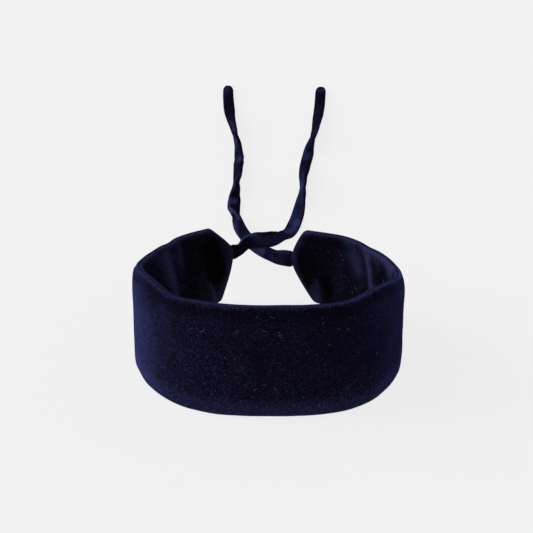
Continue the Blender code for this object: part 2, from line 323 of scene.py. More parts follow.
# %% Helpers for grids and meshes
def grid_faces(numbers):
    """The four corners of each cell, from a grid that holds the vertices' numbers."""
    return np.stack([numbers[:-1, :-1], numbers[1:, :-1], numbers[1:, 1:], numbers[:-1, 1:]],
                    axis=-1).reshape(-1, 4)


def volume(points, faces):
    """A sixth of the sum of the triple products of every face's two triangles."""
    a, b, c, d = (points[faces[:, k]] for k in range(4))
    triangles = (np.einsum("ij,ij->i", a, np.cross(b, c))
                 + np.einsum("ij,ij->i", a, np.cross(c, d)))
    return triangles.sum() / 6


def cloth_piece(name, points, faces, material, slot_name, stands_for=(), **values):
    """A mesh object with smooth faces, on the body root. values are a number or three
    for each vertex, which the materials read by name. slot_name is not used."""
    if volume(points, faces) < 0:
        faces = faces[:, ::-1]
    mesh = bpy.data.meshes.new(name)
    mesh.from_pydata(points, [], faces)
    mesh.validate()
    mesh.shade_smooth()
    for label, numbers in values.items():
        kind, field = ("FLOAT", "value") if np.ndim(numbers) == 1 else ("FLOAT_VECTOR", "vector")
        mesh.attributes.new(label, kind, "POINT").data.foreach_set(
            field, np.ravel(numbers).astype(np.float32))
    mesh.materials.append(material)
    piece = new_object(name, mesh)
    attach(piece, "root")
    if stands_for:
        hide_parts(*stands_for)
    print("%s: %d faces" % (name, len(faces)))
    return piece


cube = np.indices((2, 2, 2)).reshape(3, -1).T.astype(float)
cube_faces = np.array([(0, 1, 3, 2), (4, 6, 7, 5), (0, 4, 5, 1),
                       (2, 3, 7, 6), (0, 2, 6, 4), (1, 5, 7, 3)])
print("volume of a cube of side 1: %.1f, and inside out: %.1f"
      % (volume(cube, cube_faces), volume(cube, cube_faces[:, ::-1])))

# %% [markdown]
# ## Velvet
#
# Velvet is a woven cloth whose surface is a dense upright pile of cut cotton. Light
# that goes into the pile hardly comes out, so the face is nearly black where it is
# seen head on. Where the pile is seen from its side, along every edge and turn, it
# glows. That soft light edge is the shader's sheen. Up close the pile stands in small
# curls. More sheen, highlights and shade are painted into the colour, from a value
# that each mesh carries.

# %% Colour and node helpers
def linear(hex_colour):
    """sRGB hex to the linear red, green and blue of a shader: c / 12.92 for the
    darkest values, and ((c + 0.055) / 1.055) ** 2.4 for the rest."""
    c = np.array([int(hex_colour[i:i + 2], 16) for i in (1, 3, 5)]) / 255
    return (*np.where(c <= 0.04045, c / 12.92, ((c + 0.055) / 1.055) ** 2.4), 1.0)


def new_material(name, settings):
    """A material with these plain values on its shader's own sockets."""
    material = bpy.data.materials.new(name)
    material.use_nodes = True
    for socket, value in settings.items():
        material.node_tree.nodes["Principled BSDF"].inputs[socket].default_value = value
    return material


def add_node(tree, kind, sockets=None, **options):
    """One node with its own options. sockets gives each socket, by name or number,
    a plain value or the output that it is linked to."""
    node = tree.nodes.new(kind)
    for option, value in options.items():
        setattr(node, option, value)
    for socket, value in (sockets or {}).items():
        if isinstance(value, bpy.types.NodeSocket):
            tree.links.new(value, node.inputs[socket])
        else:
            node.inputs[socket].default_value = value
    return node


print("navy in linear light:", np.round(linear("#0d0c1a")[:3], 4))

# %% [markdown]
# ## The velvet itself
#
# One function makes the cloth, and the outside, the neck side and the ties differ in
# their colours, sheen and contrast. Tufts could be hairs, but a million of them would
# be slow and would not reach other programs, so they are a pattern of stretched noise
# that also lifts the surface a quarter of a millimetre. Real tufts are finer than
# these: they are drawn as coarse as a picture of this size can show.

# %% Sizes and colours of the pile
TUFT_LENGTH, TUFT_WIDTH = 0.0019, 0.00043    # short strokes that the pile stands in
TUFT_WAYS = (12, 74, -48)   # their directions on the cloth, in degrees
TUFT_SHIFT = 0.031          # sets the three noises apart, so that no tuft repeats
TUFT_STARTS, TUFT_FULL = 0.59, 0.80     # the noise values between which a tuft rises
TUFT_WAVINESS = 0.4
PILE_GRAIN = 0.0004         # size of the fine grain that runs through the tufts
BRUSHED_PATCH = 0.011       # size of the cloudy patches that handling leaves
CAST_PATCH = 0.0017         # size of the faint purple and teal places
TUFT_WEIGHT, GRAIN_WEIGHT, PATCH_WEIGHT = 0.64, 0.24, 0.30
TUFT_MIDDLE, NOISE_MIDDLE = 0.22, 0.5   # their usual values, which change no tone
TUFT_HEIGHT = 0.9           # of a tuft, where the grain's height is 1
PILE_RELIEF, RELIEF_STRENGTH = 0.00025, 0.7
PILE_ROUGHNESS, SHEEN_ROUGHNESS = 0.95, 0.42
VELVET_SHEEN = 0.11
SHEEN_TINT = linear("#7281f4")
PURPLE_CAST, TEAL_CAST = (1.10, 0.94, 0.97, 1.0), (0.90, 1.03, 1.05, 1.0)
CAST_BETWEEN = (0.35, 0.65)     # the noise values of full purple and full teal
print("tufts: %.1f mm long, %.2f mm wide" % (TUFT_LENGTH * 1000, TUFT_WIDTH * 1000))

# %% Velvet material
def velvet(name, dark, middle, light, sheen=VELVET_SHEEN, contrast=1.0):
    """Cotton velvet. The tone is the painted light and shade that the mesh carries plus
    weight * (noise - its middle) for tufts, grain and patches, and it picks a colour:
    dark at -1, middle at 0, light at 1, so painted shade reaches towards the dark colour
    and painted highlights towards the light one. The tufts are the greatest of three
    noises, each drawn out along its own direction. One more noise casts the colour
    purple or teal, and the relief is 0.9 * tufts + grain."""
    material = new_material(name, {
        "Roughness": PILE_ROUGHNESS, "Metallic": 0.0, "Specular IOR Level": 0.0,
        "Sheen Weight": sheen, "Sheen Roughness": SHEEN_ROUGHNESS, "Sheen Tint": SHEEN_TINT})
    tree = material.node_tree
    shader = tree.nodes["Principled BSDF"]
    cloth = add_node(tree, "ShaderNodeAttribute", attribute_name="cloth").outputs["Vector"]
    place = add_node(tree, "ShaderNodeTexCoord").outputs["Object"]
    highest = None
    for number, degrees in enumerate(TUFT_WAYS):
        along = add_node(tree, "ShaderNodeMapping", {
            "Vector": cloth, "Location": (TUFT_SHIFT * number, 0.0, 0.0),
            "Rotation": (0, 0, math.radians(degrees)),
            "Scale": (TUFT_LENGTH, TUFT_WIDTH, 1.0)}, vector_type="TEXTURE").outputs[0]
        drawn_out = add_node(tree, "ShaderNodeTexNoise", {
            "Vector": along, "Scale": 1.0, "Detail": 1.0, "Distortion": TUFT_WAVINESS},
            noise_dimensions="2D").outputs["Fac"]
        highest = drawn_out if highest is None else add_node(
            tree, "ShaderNodeMath", {0: highest, 1: drawn_out}, operation="MAXIMUM").outputs[0]
    tufts = add_node(tree, "ShaderNodeMapRange", {
        "Value": highest, "From Min": TUFT_STARTS, "From Max": TUFT_FULL}).outputs[0]
    noise = {}
    for label, size, detail in (("grain", PILE_GRAIN, 1.0), ("patch", BRUSHED_PATCH, 3.0),
                                ("cast", CAST_PATCH, 0.0)):
        noise[label] = add_node(tree, "ShaderNodeTexNoise", {
            "Vector": place, "Scale": 1 / size, "Detail": detail}).outputs["Fac"]
    # the painted light and shade that each mesh carries: sheen, highlights and shade painted into
    # the colour
    tone = add_node(tree, "ShaderNodeAttribute", attribute_name="lay").outputs["Fac"]
    for part, weight, usual in ((tufts, TUFT_WEIGHT * contrast, TUFT_MIDDLE),
                                (noise["grain"], GRAIN_WEIGHT * contrast, NOISE_MIDDLE),
                                (noise["patch"], PATCH_WEIGHT, NOISE_MIDDLE)):
        around = add_node(tree, "ShaderNodeMath", {0: part, 1: usual}, operation="SUBTRACT")
        tone = add_node(tree, "ShaderNodeMath", {0: around.outputs[0], 1: weight, 2: tone},
                        operation="MULTIPLY_ADD").outputs[0]
    share = add_node(tree, "ShaderNodeMapRange", {"Value": tone, "From Min": -1.0, "From Max": 1.0})
    ramp = add_node(tree, "ShaderNodeValToRGB", {"Fac": share.outputs[0]})
    ramp.color_ramp.elements[0].color = linear(dark)
    ramp.color_ramp.elements[1].color = linear(light)
    ramp.color_ramp.elements.new(0.5).color = linear(middle)
    cast = add_node(tree, "ShaderNodeValToRGB", {"Fac": noise["cast"]})
    purple, teal = cast.color_ramp.elements
    purple.position, teal.position = CAST_BETWEEN
    purple.color, teal.color = PURPLE_CAST, TEAL_CAST
    colour = add_node(tree, "ShaderNodeMix", {
        "Factor": 1.0, 6: ramp.outputs["Color"], 7: cast.outputs["Color"]},
        data_type="RGBA", blend_type="MULTIPLY").outputs[2]
    height = add_node(tree, "ShaderNodeMath", {0: tufts, 1: TUFT_HEIGHT, 2: noise["grain"]},
                      operation="MULTIPLY_ADD").outputs[0]
    bump = add_node(tree, "ShaderNodeBump", {
        "Height": height, "Distance": PILE_RELIEF, "Strength": RELIEF_STRENGTH})
    tree.links.new(colour, shader.inputs["Base Color"])
    tree.links.new(bump.outputs["Normal"], shader.inputs["Normal"])
    return material


velvet_outside = velvet("cotton_velvet_outside", "#060408", "#0e0b17", "#30355c")
velvet_inside = velvet("cotton_velvet_inside", "#040400", "#0b080e", "#2e3152",
                       sheen=0.06, contrast=0.65)
velvet_tie = velvet("cotton_velvet_tie", "#060309", "#130e1f", "#3a4376",
                    sheen=0.018, contrast=0.3)
print("velvets:", ", ".join(v.name for v in (velvet_outside, velvet_inside, velvet_tie)))

# %% [markdown]
# ## Marks on the cloth
#
# The cloth has creases and pressed places, and light and shade fall on it in streaks
# and patches. Each is a stroke: a line on the unrolled cloth, with a half-width, an
# edge that is soft at 2 and sharp at 8, how much painted light it adds to the colour
# there, or painted shade where that is below 0, and how far the cloth stands up there.
# All of a stroke's lengths are in millimetres.

# %% Strokes on unrolled cloth
def stroke_sum(x, y, strokes, around=None, drawn_out=1.0):
    """Painted light and shade, and height, of all strokes: exp(-(distance to the line /
    half-width)^edge) times each stroke's own amount. On a tube, y starts again after the
    way around, and strokes can be drawn out along x."""
    light, raised = np.zeros_like(x), np.zeros_like(x)
    # lighter is a stroke's painted light, and painted shade where it is below 0
    for x0, y0, x1, y1, half_width, edge, lighter, lift in strokes:
        dx, dy = x1 - x0, y1 - y0
        rise = y - y0 if around is None else (y - y0 + around / 2) % around - around / 2
        t = np.clip(((x - x0) * dx + rise * dy) / (dx * dx + dy * dy), 0, 1)
        distance = np.hypot((x - x0 - t * dx) / drawn_out, rise - t * dy)
        bell = np.exp(-(distance / half_width) ** edge)
        light, raised = light + lighter * bell, raised + lift * bell
    return light, raised / 1000


print("one stroke is 1 in its middle and %.2f at its half-width" % math.exp(-1))

# %% [markdown]
# ## Making the ties
#
# The profile of a pressed tube is a flat oval, a little hollow along its middle. It
# turns about the centreline by the table's angle, and where it lies flat its axis sinks
# until the cloth touches the table. Its far end is sewn shut, so it closes in a round.
# The creases, and the painted highlights and painted shade of the light on its
# twists, are strokes, whose places are measured along the tie and round its profile.

# %% Marks on the ties
TIE_LEFT_STROKES = (
    # from along, round, to along, round, half-width, edge, painted light (shade below 0), raised
    (2, 1.0, 3, 5.9, 0.5, 2, -0.50, 0), (2, 1.4, 1, 5.9, 0.3, 2, 0.35, 0),
    (3, 3.8, 9, 3.8, 1.6, 2, -0.25, 0), (9, 13.5, 14, 15.2, 0.9, 2, 0.85, 0),
    (12, 2.8, 15, 2.4, 1.4, 2, 0.35, 0), (10, 3.4, 12, 3.4, 1.5, 2, -0.20, 0),
    (16, 1.7, 51, 3.1, 0.7, 2, -0.20, 0), (18, 3.4, 44, 3.6, 2.4, 2, 0.22, 0),
    (27, 6.6, 60, 7.6, 0.9, 2, -0.55, 0), (62, 2.8, 90, 4.8, 1.1, 2, 0.85, 0.10),
    (61, 3.8, 79, 5.2, 0.9, 2, 0.50, 0), (88, 3.4, 107, 2.8, 2.3, 2, 0.60, 0),
    (103, 2.8, 100, 3.8, 1.0, 2, -0.30, 0), (112, 2.4, 123, -0.3, 1.4, 2, 0.65, 0),
    (88, 5.9, 108, 5.9, 0.8, 3, -0.60, 0), (112, 5.2, 124, 2.8, 0.7, 2, -0.25, 0),
    (127, 12.4, 156, 9.3, 1.1, 2, 0.45, 0.08), (134, 1.0, 165, -0.3, 0.9, 2, -0.90, 0),
    (147, 11.7, 160, 10.7, 2.4, 2, -0.35, 0), (165, 10.0, 171, 9.7, 1.3, 2, 0.50, 0),
    (174, 8.3, 186, 2.8, 0.9, 2, 0.40, 0), (168, 8.0, 182, 9.0, 2.0, 2, 0.20, 0),
    (192, 7.6, 197, 6.9, 0.8, 2, 0.55, 0.05), (184, 8.6, 191, 7.2, 1.0, 2, -0.10, 0),
    (209, 3.1, 232, 2.8, 0.8, 2, 0.30, 0), (210, 5.2, 225, 3.8, 2.2, 2, -0.15, 0),
    (230, 4.5, 238, 4.5, 2.0, 2, 0.18, 0), (244, 3.8, 255, 3.8, 2.4, 2, -0.30, 0),
    (262, 3.1, 263, 6.2, 1.6, 2, 0.55, 0), (200, 3.0, 256, 3.0, 6.0, 2, -0.20, 0),
)
TIE_RIGHT_STROKES = (
    # the same columns
    (3, 11.7, 3, 9.3, 0.5, 2, -0.20, 0), (4, 12.1, 14, 12.8, 0.7, 2, 0.35, 0),
    (4, 9.7, 14, 10.0, 1.8, 2, 0.15, 0), (21, 11.4, 23, 9.3, 0.6, 2, -0.45, 0),
    (27, 10.3, 41, 9.3, 1.5, 2, 0.32, 0), (71, 7.6, 81, 9.3, 1.9, 2, 0.65, 0),
    (69, 10.0, 71, 10.3, 1.2, 2, -0.30, 0), (74, 11.0, 88, 10.0, 0.8, 2, -0.25, 0),
    (82, 12.8, 97, 14.1, 0.9, 2, 0.95, 0.10), (85, 0.0, 102, 3.8, 1.6, 2, -0.55, 0),
    (107, 3.4, 110, 3.1, 1.3, 2, 0.60, 0), (101, 1.7, 110, 1.7, 0.7, 2, 0.75, 0),
    (101, 5.5, 113, 5.2, 0.7, 2, -0.45, 0), (113, 2.8, 119, 2.8, 1.2, 2, -0.25, 0),
    (115, 2.1, 121, 0.3, 0.6, 2, 0.40, 0), (128, 3.1, 149, 9.3, 1.0, 2, 0.55, 0.08),
    (140, 13.5, 148, 12.8, 1.6, 2, -0.40, 0), (135, 1.4, 159, -1.0, 0.6, 2, -0.25, 0),
    (155, 10.0, 160, 10.0, 1.3, 2, 0.35, 0), (164, 8.4, 170, 9.0, 0.8, 2, -0.20, 0),
    (156, 11.6, 179, 7.2, 1.3, 2, 0.60, 0.08), (183, 7.9, 179, 9.3, 0.8, 2, -0.10, 0),
    (211, 3.1, 193, 5.9, 1.2, 2, 0.60, 0.05), (194, 9.0, 224, 5.9, 0.7, 3, -0.85, 0),
    (212, 3.8, 236, 3.4, 2.2, 2, -0.35, 0), (220, 0.7, 245, 1.4, 0.6, 2, 0.35, 0),
    (252, 2.8, 261, 3.1, 1.4, 2, 0.70, 0), (245, 4.5, 261, 4.5, 1.4, 2, -0.35, 0),
    (190, 3.0, 250, 3.0, 6.0, 2, -0.20, 0), (222, 4.6, 252, 4.4, 1.5, 2, -0.28, 0),
)
print(len(TIE_LEFT_STROKES) + len(TIE_RIGHT_STROKES), "strokes on the ties")

# %% Tie surface
TIE_STATIONS, TIE_PROFILE_STEPS = 480, 40
TIE_AROUND = 2.3 * TIE_WIDTH    # all the way round its profile
END_ROUNDING = 0.0085       # length over which the far end closes
SEWN_ROUNDING = 0.3 * END_ROUNDING      # and the end that is sewn in
OFF_THE_TABLE = 0.0002      # the pile under a tie that lies flat
OVAL_POWERS = (0.80, 0.70)  # under 1 they make an ellipse fuller at its shoulders
HOLLOW, HOLLOW_WIDTH = 0.28, 0.45       # how much thinner the tube is in its middle
CRINKLE = 0.10              # how much its small wrinkles thicken and thin it
STROKES_DRAWN_OUT = 2.2     # how much longer than wide a stroke's round end is


def quarter_round(distance, reach):
    """The height share of a quarter ellipse: sqrt(1 - (1 - distance / reach)^2)."""
    return np.sqrt(1 - (1 - np.clip(distance / reach, 0, 1)) ** 2)


def tie_surface(side, route, twist, strokes):
    """Points of a tie, for every angle of the oval at every station: centre
    + half width * across * wide axis + (half thickness * through + crease) * flat axis,
    where across = cos(angle)^0.80 and through = sin(angle)^0.70 with their signs kept,
    and the two axes are the level and the upright one, turned by the table's angle."""
    axis, length = tie_centreline(side, route, TIE_STATIONS)
    share = np.linspace(0, 1, len(axis))
    rows = np.array(twist, float)
    turn, width, thick = (smooth_table(share, rows[:, 0], rows[:, k]) for k in (1, 2, 3))
    turn = np.radians(turn)
    half_width, half_thick = width * TIE_WIDTH / 2, thick * TIE_WIDTH / 2

    # A flat tie's axis is as high as its turned profile needs.
    lying = np.sqrt((half_width * np.sin(turn)) ** 2
                    + (half_thick * np.cos(turn)) ** 2) + OFF_THE_TABLE
    falling = np.clip((axis[:, 2] - TIE_REST) / TIE_WIDTH, 0, 1)
    axis[:, 2] += (lying - TIE_REST) * (1 - falling)
    for place, reach, lift in TIE_LIFTS[side]:
        axis[:, 2] += lift * np.exp(-((share * length - place) / reach) ** 2)

    ahead = np.gradient(axis, axis=0)
    ahead /= np.linalg.norm(ahead, axis=1, keepdims=True)
    level = np.cross([0.0, 0.0, 1.0], ahead)
    level /= np.linalg.norm(level, axis=1, keepdims=True)
    upright = np.cross(ahead, level)
    wide = level * np.cos(turn)[:, None] + upright * np.sin(turn)[:, None]
    flat = upright * np.cos(turn)[:, None] - level * np.sin(turn)[:, None]

    # The oval closes in a quarter round at both ends.
    closing = (quarter_round(length * (1 - share), END_ROUNDING)
               * quarter_round(length * share, SEWN_ROUNDING))

    angle = np.linspace(0, 2 * np.pi, TIE_PROFILE_STEPS, endpoint=False)
    across = np.sign(np.cos(angle)) * np.abs(np.cos(angle)) ** OVAL_POWERS[0]
    through = np.sign(np.sin(angle)) * np.abs(np.sin(angle)) ** OVAL_POWERS[1]
    through = through * (1 - HOLLOW * np.exp(-(across / HOLLOW_WIDTH) ** 2))
    along_mm, round_mm = np.meshgrid(share * length * 1000,
                                     angle / (2 * np.pi) * TIE_AROUND * 1000, indexing="ij")
    light, raised = stroke_sum(along_mm, round_mm, strokes, TIE_AROUND * 1000, STROKES_DRAWN_OUT)
    wrinkled = (1 + CRINKLE * np.sin(share * 73 + 2 * np.sin(share * 31))[:, None]
                * np.cos(angle * 2 + share[:, None] * 40))
    points = (axis[:, None, :]
              + (half_width * closing)[:, None, None] * across[None, :, None] * wide[:, None, :]
              + ((half_thick * closing)[:, None] * through * wrinkled
                 + raised * np.sign(through))[:, :, None] * flat[:, None, :])
    return points, axis, across, light


print("a tie is a grid of %d by %d points" % (TIE_STATIONS, TIE_PROFILE_STEPS))

# %% Ties as meshes
FOLD_PAINTED_SHEEN, FOLD_SHARPNESS = 0.25, 8    # painted sheen on the two folded edges
STROKE_LIGHT = 0.62         # how much of each stroke's painted light and shade a tie takes
# a painted highlight on the far tip of each tie
TIP_PAINTED_HIGHLIGHT = 0.3


def tie(name, side, route, twist, strokes, node):
    """A tie's mesh: its oval rows joined round, and closed by a point at each end. Its
    painted light is 0.25 * |across|^8, a painted sheen on the folded edges, plus the
    strokes' painted light and shade, and a painted highlight on its far tip."""
    rings, axis, across, light = tie_surface(side, route, twist, strokes)
    stations, around = rings.shape[:2]
    numbers = np.arange(1, stations - 1)[:, None] * around + np.arange(around) - around
    ends = (stations - 2) * around
    numbers = np.vstack([np.full((1, around), ends), numbers, np.full((1, around), ends + 1)])
    points = np.vstack([rings[1:-1].reshape(-1, 3), axis[:1], axis[-1:]])
    faces = grid_faces(np.column_stack([numbers, numbers[:, :1]]))
    # painted sheen on the folded edges, plus the strokes' painted light and shade
    edge = (np.abs(across) ** FOLD_SHARPNESS * FOLD_PAINTED_SHEEN + STROKE_LIGHT * light)[1:-1].ravel()
    share = np.repeat(np.linspace(0, 1, stations)[1:-1], around)
    lay = np.concatenate([edge, [0.0, TIP_PAINTED_HIGHLIGHT]])
    length = np.linalg.norm(np.diff(axis, axis=0), axis=1).sum()
    round_tie = np.tile(np.arange(around) * TIE_AROUND / around, stations - 2)
    cloth = np.column_stack([np.append(share, [0, 1]) * length, np.append(round_tie, [0, 0]),
                             np.full(len(points), side)])
    piece = cloth_piece(name, points, faces, velvet_tie, "velvet_tie", (node,),
                        lay=lay, cloth=cloth)
    point_of(side)[0]
    return piece


tie("soft_tie_left", -1.0, TIE_LEFT_ROUTE, TWIST_LEFT, TIE_LEFT_STROKES, "tie_left")
tie("soft_tie_right", 1.0, TIE_RIGHT_ROUTE, TWIST_RIGHT, TIE_RIGHT_STROKES, "tie_right")

# %% [markdown]
# ## The padded band
#
# The band is two layers of velvet with a soft filling, sewn together round the
# outline and turned, so that its edges are rolled and its faces are a little full.
# One function places a flat sheet of numbers on the loop: how far along, how far up,
# and how far out from the seam. Both layers use it, each with its own small marks.

# %% How thick the cloth stands
ROLL = (EDGE_THICKNESS - LAYER_GAP) / 2             # a rolled edge of one layer
FILLING = (BAND_THICKNESS - EDGE_THICKNESS) / 2     # what the filling adds inside it
FULL_AFTER = {"upper": 0.0075, "lower": 0.0070, "end": 0.0070}  # distances from the edges
UPPER_LEAN = 0.0008         # how far the upper edge leans in
RIM_PILE = 0.0005           # how far the pile stands above the upper seam


def on_band(along, up):
    """What a place on the sheet is: its height, the way round to it, and its distance
    from the upper edge, the lower edge and the end. An end's slant grows over the last
    share of its half by 3 s^2 - 2 s^3, and the four corners are quarter circles."""
    half = BAND_LENGTH / 2
    back = np.where(along < 0, set_back(up, ENDS["left"]), set_back(up, ENDS["right"]))
    near = np.clip(1 - (1 - np.abs(along)) / SLANT_REACH, 0, 1)
    arc = along * half - np.sign(along) * back * near ** 2 * (3 - 2 * near)
    to_end = half * (1 - np.abs(along))
    closing = np.clip(1 - to_end / CORNER_ROUNDING, 0, 1)
    corner = CORNER_ROUNDING * (1 - np.sqrt(1 - closing ** 2))
    top = BAND_HEIGHT * smooth_table(along, *two_sided(UPPER_EDGE)) + RIM_PILE
    height = corner + up * (top - 2 * corner)
    return {"arc": arc, "height": height, "to_upper": (1 - up) * top, "to_lower": up * top,
            "to_end": to_end + 0 * up}


def nearest_edge(at):
    """The distance to the nearest of the upper edge, the lower edge and the end."""
    return np.minimum(np.minimum(at["to_upper"], at["to_lower"]), at["to_end"])


def fullness(at):
    """How far one layer stands off the seam: a tight roll at every edge, and the
    filling inside it. The roll's distance is a smooth least of the three distances,
    the sum of their -4th powers raised to -1/4, and 0 on an edge."""
    least = sum(np.maximum(at[k], 1e-7) ** -4 for k in ("to_upper", "to_lower", "to_end")) ** -0.25
    filling = (quarter_round(at["to_upper"], FULL_AFTER["upper"])
               * quarter_round(at["to_lower"], FULL_AFTER["lower"])
               * quarter_round(at["to_end"], FULL_AFTER["end"]))
    least = np.where(nearest_edge(at) <= 0, 0, least)
    return ROLL * quarter_round(least, ROLL) + FILLING * filling


print("layer: %.2f mm at its rolled edge, %.2f mm in full" % (ROLL * 1000, (ROLL + FILLING) * 1000))

# %% [markdown]
# ## Marks on the band
#
# The same kind of strokes marks the band. Their places are in millimetres, round from
# the middle of the front, with the left side negative, and up from the table.

# %% Strokes of each layer
STROKES_OUTSIDE = (
    # from round, height, to round, height, half-width, edge, painted light (shade below 0), raised
    (-84, 0, -83, 28, 20, 2, 0.70, 0.0), (-62, 32, -61, 10, 8, 2, 0.16, 0.0),
    (82, 0, 82, 40, 10, 2, 0.34, 0.0),
    (24, 40, 40, 26, 11, 2, -0.20, 0.0),
    (-34, 30, -20, 12, 10, 2, 0.10, 0.0),
    (60, 19, 70, 19, 1.1, 2, -0.20, -0.45),
    (-12, 30, -7, 28, 1.6, 2, -0.25, -0.10),
    (30, 20, 46, 24, 5, 2, -0.10, -0.10),
)
STROKES_INSIDE = (
    # the same columns
    (-125, 35, -131, 12, 1.9, 2, 0.52, 0.15), (-122, 33, -127, 22, 4.0, 2, 0.34, 0.0),
    (-133, 36, -135, 25, 1.8, 2, 0.30, 0.25), (-130, 35, -132, 28, 3.0, 2, 0.15, 0.0),
    (-108, 31, -115, 19, 4.6, 2, -0.80, -0.30),
    (-111, 35, -123, 33, 2.4, 2, 0.28, 0.0),
    (-99, 34, -105, 22, 5.0, 2, -0.80, 0.0), (-88, 40, -92, 30, 5.0, 2, 0.30, 0.0),
    (-151, 29.5, -154, 16, 4.4, 7, -1.00, -0.25),
    (-147, 15, -151, 4, 3.6, 6, 0.12, 0.10),
    (-150.5, 13, -153.5, 2, 0.7, 2, 0.42, 0.30),
    (-140, 34, -141, 8, 3.0, 2, -0.10, -0.15),
    (121, 32, 118, 17, 1.6, 2, 1.05, 0.30),
    (122, 34.5, 97, 34.8, 3.2, 2, 0.85, 0.0), (113, 30, 103, 31, 2.6, 2, 0.35, 0.0),
    (133, 34, 128, 24, 4.5, 2, 0.50, 0.10),
    (109, 30, 109, 20, 3.6, 2, -0.60, -0.40),
    (152, 12, 150, 3, 2.4, 4, 0.45, 0.15),
    (145.5, 12.5, 144.5, 8, 2.2, 4, -0.90, -0.20),
    (157, 24, 154, 12, 3.2, 2, -0.50, -0.15),
    (140, 30, 140, 8, 4.0, 2, 0.12, 0.0),
)
print(len(STROKES_OUTSIDE) + len(STROKES_INSIDE), "strokes on the band")

# %% [markdown]
# ## Puckers and waves
#
# A seam in thick cloth draws in at every stitch, which shows as a row of small dents
# under the upper edge. The filling behind the cloth is never quite even, so the wide
# face has slow waves of under a tenth of a millimetre. Both are sums of sines.

# %% Seam puckers and slow waves
PUCKER_PITCH = 0.0021       # distance between two stitches of the turned seam
PUCKER_DEPTH = 0.00040
PUCKER_LINE = 0.0024        # how far below the edge the stitches pull
PUCKER_REACH = 0.0015       # half of a dent's height
PUCKER_SLANT = 0.35         # how far a dent leans sideways for its height
PUCKERED = ((-0.038, 0.015), (0.043, 0.013), (0.118, 0.016))    # where they pull hard
WAVE_HEIGHT = 0.00008


def puckers(at):
    """Small dents in a row below the upper edge: a raised cosine cubed along it, times
    a bell across it, times a strength that slow sines and the hard places change. Two
    more sines put the stitches out of step a little, as a hand does."""
    beat = (at["arc"] + PUCKER_SLANT * np.sign(at["arc"]) * at["to_upper"]) / PUCKER_PITCH
    beat = beat + 0.35 * np.sin(at["arc"] * 310) + 0.3 * np.sin(at["arc"] * 127)
    dents = (0.5 + 0.5 * np.cos(2 * np.pi * beat)) ** 3
    across = np.exp(-((at["to_upper"] - PUCKER_LINE) / PUCKER_REACH) ** 2)
    strength = 0.25 + 0.15 * np.sin(at["arc"] * 75 + 1.0)
    for place, width in PUCKERED:
        strength = strength + 0.75 * np.exp(-((at["arc"] - place) / width) ** 2)
    uneven = 0.7 + 0.3 * np.sin(at["arc"] * 1130) * np.sin(at["arc"] * 410)
    return dents * across * strength * uneven


def waves(at):
    """Slow waves of the filling, from four sines of different lengths and slants."""
    a, z = at["arc"] * 1000, at["height"] * 1000
    return WAVE_HEIGHT * (np.sin(a / 5.1 + z / 9.0) + np.sin(a / 3.3 - z / 7.0 + 1.7)
                          + 0.8 * np.sin(a / 2.2 + z / 4.1 + 0.4)
                          + 0.6 * np.sin(z / 2.4 - a / 6.0))


print("stitches every %.1f mm" % (PUCKER_PITCH * 1000))

# %% [markdown]
# ## The two layers
#
# A layer is a closed thin cushion: a full face that shows, and the flat sewn side that
# meets the other layer. Cloth simulation could swell it, but the thickness is known all
# over, so it is set by formula and comes out the same every time. Sheen is painted
# lighter on the seams, with painted shade in the dents of the stitches, and each layer
# has its own strength for that.

# %% How the points of a layer are spread
STATIONS, ROWS = 700, 46
CROWDED_ROUND, CROWDED_UP = 0.12, 0.72  # how much closer the points are near the edges


def crowded(count, crowding):
    """Steps from -1 to 1, closer together near both ends: t mixed with its sine."""
    t = np.linspace(-1, 1, count)
    return (1 - crowding) * t + crowding * np.sin(t * np.pi / 2)


print("the face of a layer is a grid of %d by %d points" % (STATIONS, ROWS))

# %% One layer of the band
FLAT_AT_EDGE = 0.002        # marks and waves fade out over this distance from an edge
LEAN_HEIGHT = 0.012         # how far down the upper edge starts to lean in
RIM_PAINTED_HIGHLIGHT, RIM_REACH = 0.42, 0.0009     # painted highlight on the upper seam
SHADE_LIGHT, SHADE_PLACE, SHADE_REACH = -0.14, 0.0035, 0.0022   # painted shade in a line below it
TOP_REACH, HEM_REACH = 0.0036, 0.0085
LAYER_PAINTED_SHEEN = {  # by how much painted sheen makes the ends, the hem and the top lighter
    -1: {"border": 0.30, "border_reach": 0.0022, "hem": 0.34, "top": 0.0},
    1: {"border": 0.55, "border_reach": 0.0040, "hem": 0.05, "top": 0.22},
}


